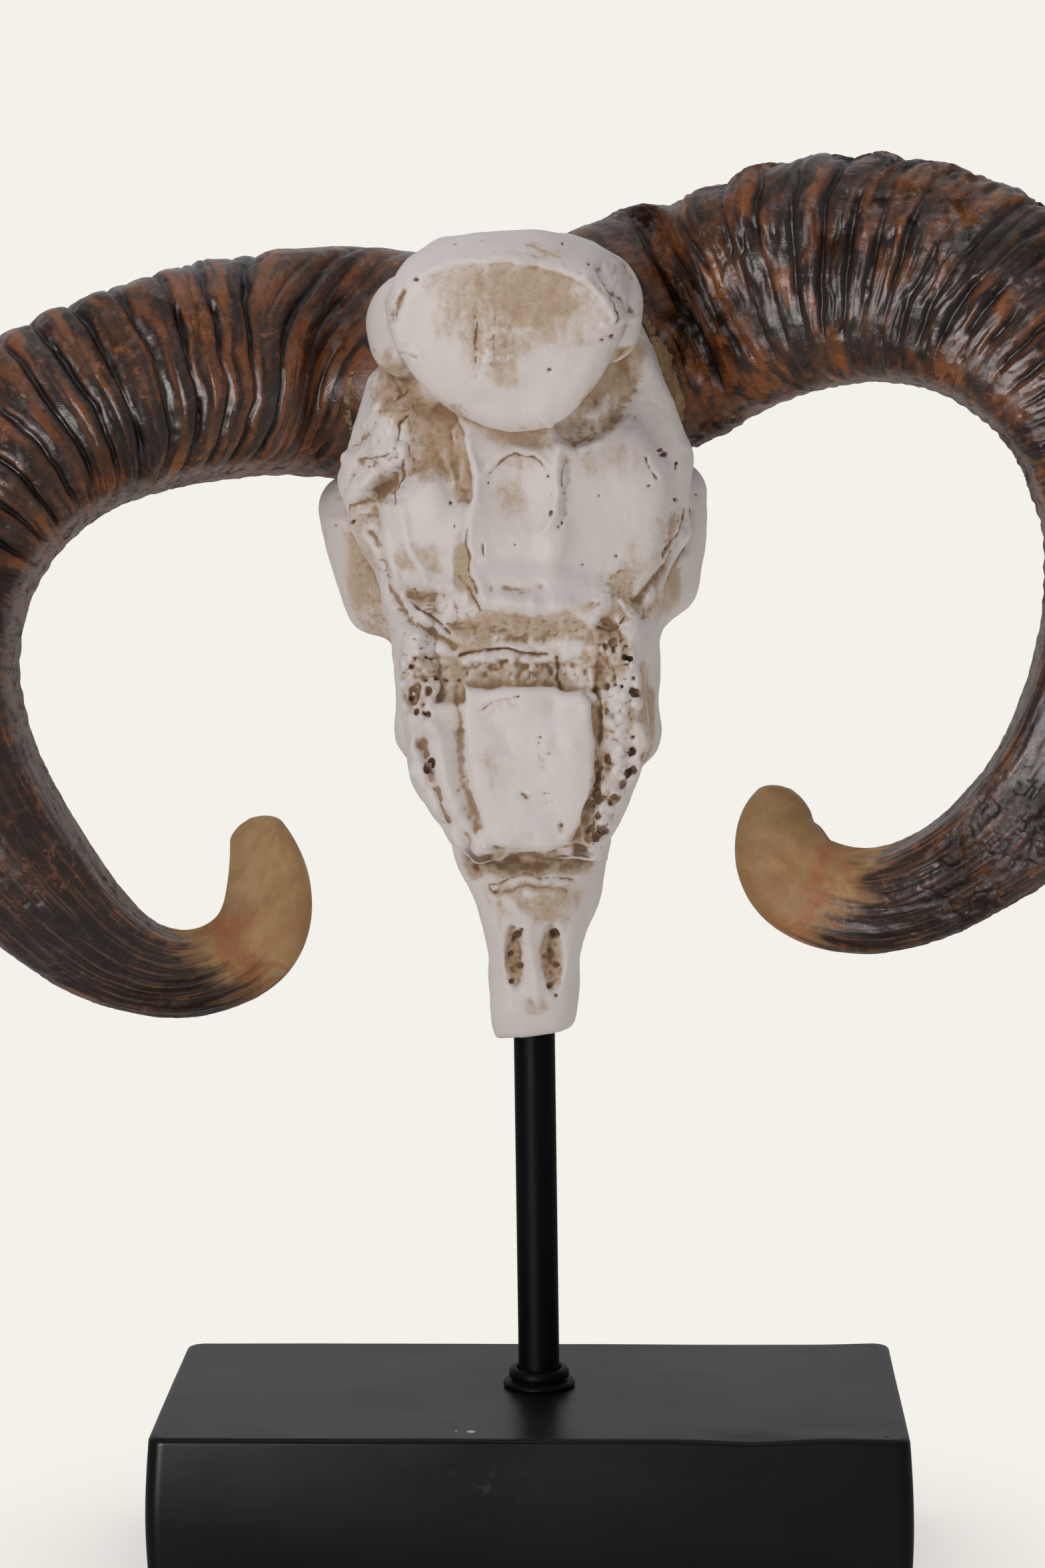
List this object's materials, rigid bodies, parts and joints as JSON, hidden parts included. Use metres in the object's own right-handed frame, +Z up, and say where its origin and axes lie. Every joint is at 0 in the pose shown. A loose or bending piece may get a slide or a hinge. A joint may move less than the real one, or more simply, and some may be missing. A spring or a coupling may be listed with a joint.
{
  "type": "cast ram skull on a display stand",
  "caption": "Life-size cast of a horned ram skull, muzzle down, held by a short rod on a heavy black block so that it stands freely on a shelf or table.",
  "frame": {"origin": "middle of the base block's underside", "axes": "+Z up, +Y towards the face of the skull, and +X to the right as seen from the palate side"},
  "size_m": [0.4454, 0.1334, 0.4759],
  "materials": {
    "cast_bone": "matt off-white casting resin with brown antiquing wash in the hollows, pinholes and scratches",
    "horn_core": "matt tan casting resin, fibrous, where the bony cores meet the horns",
    "horn": "ridged casting resin in dark and orange-brown, grey on the underside, glossy varnish",
    "horn_tip": "pale tan-yellow casting resin with darker blotches, satin varnish",
    "black_metal": "black satin paint",
    "base_wood": "hand-carved solid block in black satin lacquer"
  },
  "bodies": {
    "root": {"base_block": "base_wood", "mount_rod": "black_metal", "rod_flange": "black_metal", "cranium": "cast_bone", "upper_jaw": "cast_bone", "muzzle": "cast_bone", "orbit_left": "cast_bone", "orbit_right": "cast_bone", "mastoid_left": "cast_bone", "mastoid_right": "cast_bone", "occipital_plug": "cast_bone", "palate_plug": "cast_bone", "tooth_row_left": "cast_bone", "tooth_row_right": "cast_bone", "horn_core_left": "horn_core", "horn_core_right": "horn_core", "horn_root_left": "horn", "horn_crown_left": "horn", "horn_outer_left": "horn", "horn_lower_left": "horn", "horn_tip_left": "horn_tip", "horn_root_right": "horn", "horn_crown_right": "horn", "horn_outer_right": "horn", "horn_lower_right": "horn", "horn_tip_right": "horn_tip"}
  },
  "joints": []
}
